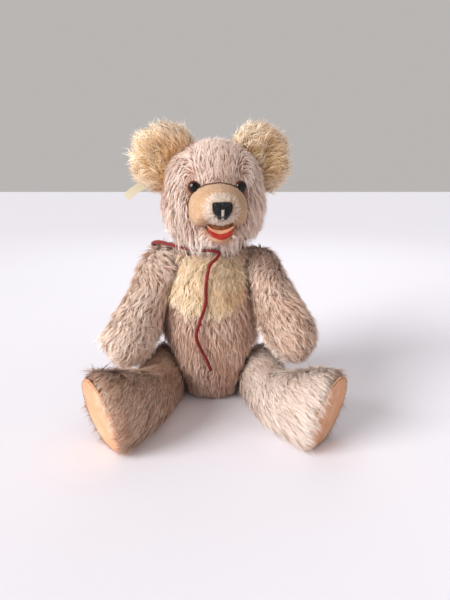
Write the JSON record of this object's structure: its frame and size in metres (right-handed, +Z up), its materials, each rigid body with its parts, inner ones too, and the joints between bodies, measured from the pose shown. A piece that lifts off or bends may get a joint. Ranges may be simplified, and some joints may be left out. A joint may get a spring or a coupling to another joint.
{
  "type": "teddy bear",
  "caption": "Threadbare jointed teddy bear, sitting, with mohair pile, felt soles, open felt mouth, stitched nose, glass eyes and a cord round its neck.",
  "frame": {"origin": "middle of the flat of the seat, on the surface it sits on", "axes": "+Z up, the bear faces -Y, its own left is +X"},
  "size_m": [0.2302, 0.187, 0.269],
  "materials": {
    "mohair_taupe": "worn frosted mohair pile",
    "mohair_beige": "worn frosted mohair pile",
    "mohair_gold": "long curly mohair pile",
    "velour": "clipped pile, worn at the nose",
    "felt_peach": "wool felt",
    "felt_red": "wool felt",
    "floss": "satin stitches",
    "eye_glass": "polished",
    "tape": "woven cotton tape",
    "cord": "twisted cotton cord",
    "wood_wool": "fine shavings",
    "hardboard": "pressed board",
    "steel": "wire and sheet"
  },
  "bodies": {
    "torso": {"torso_skin": "mohair_taupe", "chest_bib": "mohair_gold", "torso_stuffing": "wood_wool", "neck_cord": "cord", "neck_body_disc": "hardboard", "neck_body_washer": "steel", "neck_cotter_pin": "steel", "shoulder_left_body_disc": "hardboard", "shoulder_left_body_washer": "steel", "shoulder_left_cotter_pin": "steel", "shoulder_right_body_disc": "hardboard", "shoulder_right_body_washer": "steel", "shoulder_right_cotter_pin": "steel", "hip_left_body_disc": "hardboard", "hip_left_body_washer": "steel", "hip_left_cotter_pin": "steel", "hip_right_body_disc": "hardboard", "hip_right_body_washer": "steel", "hip_right_cotter_pin": "steel"},
    "head": {"head_skin": "mohair_taupe", "head_stuffing": "wood_wool", "muzzle": "velour", "chin": "velour", "mouth_lip": "felt_peach", "mouth_tongue": "felt_red", "nose_stitching": "floss", "ear_tag": "tape", "eye_left": "eye_glass", "eye_right": "eye_glass", "ear_left": "mohair_gold", "ear_right": "mohair_gold", "neck_limb_disc": "hardboard", "neck_limb_washer": "steel"},
    "arm_left": {"arm_left_skin": "mohair_beige", "arm_left_stuffing": "wood_wool", "paw_pad_left": "felt_peach", "shoulder_left_limb_disc": "hardboard", "shoulder_left_limb_washer": "steel"},
    "arm_right": {"arm_right_skin": "mohair_beige", "arm_right_stuffing": "wood_wool", "paw_pad_right": "felt_peach", "shoulder_right_limb_disc": "hardboard", "shoulder_right_limb_washer": "steel"},
    "leg_left": {"leg_left_skin": "mohair_beige", "leg_left_stuffing": "wood_wool", "foot_pad_left": "felt_peach", "hip_left_limb_disc": "hardboard", "hip_left_limb_washer": "steel"},
    "leg_right": {"leg_right_skin": "mohair_beige", "leg_right_stuffing": "wood_wool", "foot_pad_right": "felt_peach", "hip_right_limb_disc": "hardboard", "hip_right_limb_washer": "steel"}
  },
  "joints": [
    {"name": "neck_turn", "type": "hinge", "parent": "torso", "child": "head", "pos_m": [0.003, 0.003, 0.157], "axis": [0, 0, 1], "continuous": true},
    {"name": "shoulder_left_swing", "type": "hinge", "parent": "torso", "child": "arm_left", "pos_m": [0.03416, 0.00069, 0.129], "axis": [-0.9563, 0, -0.2924], "range_deg": [-100, 52]},
    {"name": "shoulder_right_swing", "type": "hinge", "parent": "torso", "child": "arm_right", "pos_m": [-0.03416, 0.00069, 0.129], "axis": [-0.9563, 0, 0.2924], "range_deg": [-82, 70]},
    {"name": "hip_left_swing", "type": "hinge", "parent": "torso", "child": "leg_left", "pos_m": [0.02807, -0.00077, 0.026], "axis": [0.9659, 0, -0.2588], "range_deg": [-5, 105]},
    {"name": "hip_right_swing", "type": "hinge", "parent": "torso", "child": "leg_right", "pos_m": [-0.02807, -0.00077, 0.026], "axis": [0.9659, 0, 0.2588], "range_deg": [-5, 105]}
  ]
}
